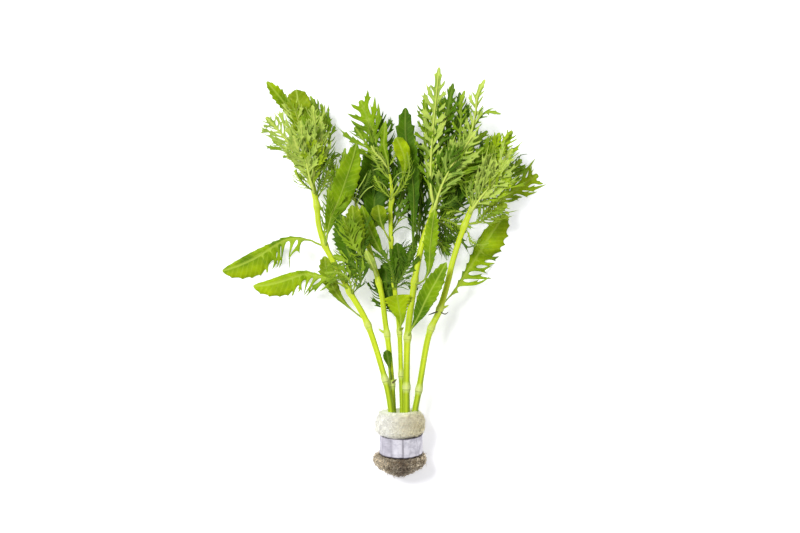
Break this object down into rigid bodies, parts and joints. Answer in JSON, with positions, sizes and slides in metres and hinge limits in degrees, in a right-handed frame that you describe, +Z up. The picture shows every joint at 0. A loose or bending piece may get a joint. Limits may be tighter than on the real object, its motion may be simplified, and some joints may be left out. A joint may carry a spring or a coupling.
{
  "type": "water wisteria bunch",
  "caption": "Cut bunch of water wisteria lying down: leafy stems with toothed and finely cut leaves, held by a wool plug and a soft metal strip.",
  "frame": {"origin": "on the surface that the bunch lies on, under the middle of its box", "axes": "+Y along the stems towards the leaf tips, +X to the right seen from above with the plug nearest, +Z up"},
  "size_m": [0.1612, 0.2036, 0.029],
  "materials": {
    "wool": "matte fibrous mineral wool, cream above and brown below",
    "lead": "soft grey wrinkled metal strip, dull",
    "stem": "smooth juicy green stem, pale swollen nodes, slight gloss",
    "leaf_bright": "fresh yellow-green leaf, soft gloss",
    "leaf_green": "mid green leaf, soft gloss",
    "leaf_deep": "dark green leaf, soft gloss",
    "leaf_olive": "olive leaf, matte",
    "leaf_pale": "pale grey-green underside of a leaf, matte"
  },
  "bodies": {
    "root": {"wool_wrap": "wool", "lead_strip": "lead", "stem_A": "stem", "stem_B": "stem", "stem_C": "stem", "stem_D": "stem", "stem_E": "stem", "leaf_A1": "leaf_olive", "leaf_C3": "leaf_green", "leaf_C4": "leaf_deep", "leaf_C2": "leaf_deep", "leaf_C1": "leaf_deep", "leaf_A6": "leaf_deep", "leaf_A9": "leaf_pale", "leaf_A7": "leaf_green", "leaf_A8": "leaf_green", "leaf_B2": "leaf_pale", "leaf_B1": "leaf_deep", "leaf_D2": "leaf_deep", "leaf_D3": "leaf_green", "leaf_D4": "leaf_green", "leaf_D5": "leaf_deep", "leaf_D6": "leaf_deep", "leaf_D7": "leaf_deep", "leaf_D1": "leaf_deep", "leaf_E2": "leaf_green", "leaf_E3": "leaf_deep", "leaf_E4": "leaf_bright", "leaf_E1": "leaf_bright", "leaf_A2": "leaf_bright", "leaf_A4": "leaf_bright", "leaf_A5": "leaf_green", "leaf_A3": "leaf_deep", "leaf_A10": "leaf_green", "leaf_B3": "leaf_olive", "leaf_B4": "leaf_pale", "leaf_C10": "leaf_green", "leaf_C9": "leaf_bright", "leaf_C5": "leaf_olive", "leaf_C6": "leaf_green", "leaf_C7": "leaf_deep", "leaf_C8": "leaf_bright", "leaf_B5": "leaf_deep", "leaf_D9": "leaf_green", "leaf_D8": "leaf_green", "leaf_D13": "leaf_green", "leaf_D12": "leaf_pale", "leaf_D11": "leaf_green", "leaf_D10": "leaf_pale", "leaf_D14": "leaf_pale", "leaf_E7": "leaf_bright", "leaf_E6": "leaf_green", "leaf_E8": "leaf_pale", "leaf_E5": "leaf_olive", "leaf_A12": "leaf_bright", "leaf_A11": "leaf_bright", "leaf_A13": "leaf_olive", "leaf_A14": "leaf_pale", "leaf_A15": "leaf_pale"}
  },
  "joints": []
}
